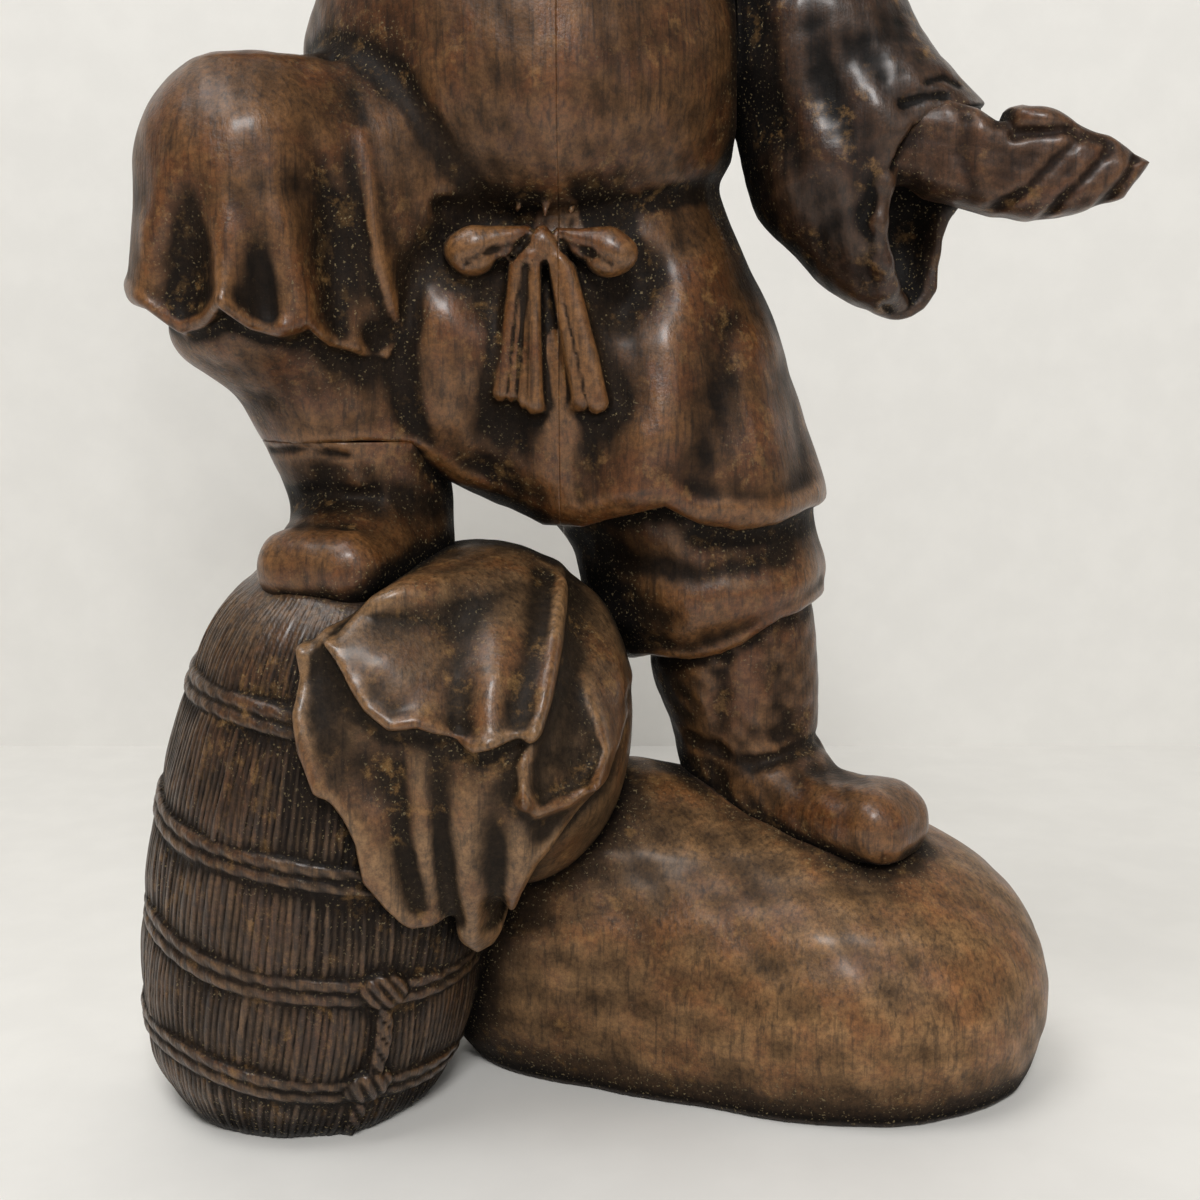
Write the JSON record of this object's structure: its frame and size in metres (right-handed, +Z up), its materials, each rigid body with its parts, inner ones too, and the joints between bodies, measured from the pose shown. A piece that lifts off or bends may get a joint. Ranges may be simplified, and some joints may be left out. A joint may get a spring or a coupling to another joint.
{
  "type": "carved wooden figurine",
  "caption": "Carved wooden figurine of a robed figure standing with one foot on a straw bale and the other on a full sack, with an open palm and a raised mallet.",
  "frame": {"origin": "on the floor, at the centre of the carving's bounding box", "axes": "+Z up; the figure faces -Y; the bale is on the -X side and the sack on the +X side"},
  "size_m": [0.352, 0.192, 0.5852],
  "materials": {
    "garment_wood": "aged dark wood, worn satin wax",
    "skin_wood": "aged dark wood, rubbed satin wax",
    "bale_wood": "aged dark wood, carved straw texture, matt",
    "sack_wood": "aged dark wood, worn satin wax",
    "mallet_wood": "aged dark wood, satin wax",
    "peg_wood": "bare hardwood, hidden"
  },
  "bodies": {
    "figurine": {"straw_bale": "bale_wood", "cargo_sack": "sack_wood", "sack_mouth": "sack_wood", "bale_sack_pegs": "peg_wood", "sack_mouth_peg": "peg_wood", "right_lower_leg": "garment_wood", "left_lower_leg": "garment_wood", "foot_pegs": "peg_wood", "shin_pegs": "peg_wood", "body_right_half": "garment_wood", "body_left_half": "garment_wood", "body_pegs": "peg_wood", "left_sleeve": "garment_wood", "left_arm_pegs": "peg_wood", "left_hand": "skin_wood", "right_sleeve": "garment_wood", "right_arm_pegs": "peg_wood", "right_hand": "skin_wood", "head": "skin_wood"},
    "mallet": {"mallet_handle": "mallet_wood", "mallet_head": "mallet_wood"}
  },
  "joints": [
    {"name": "mallet_draw", "type": "slide", "parent": "figurine", "child": "mallet", "axis": [-0.0999, 0.5496, 0.8294], "range_m": [0, 0.03]}
  ]
}
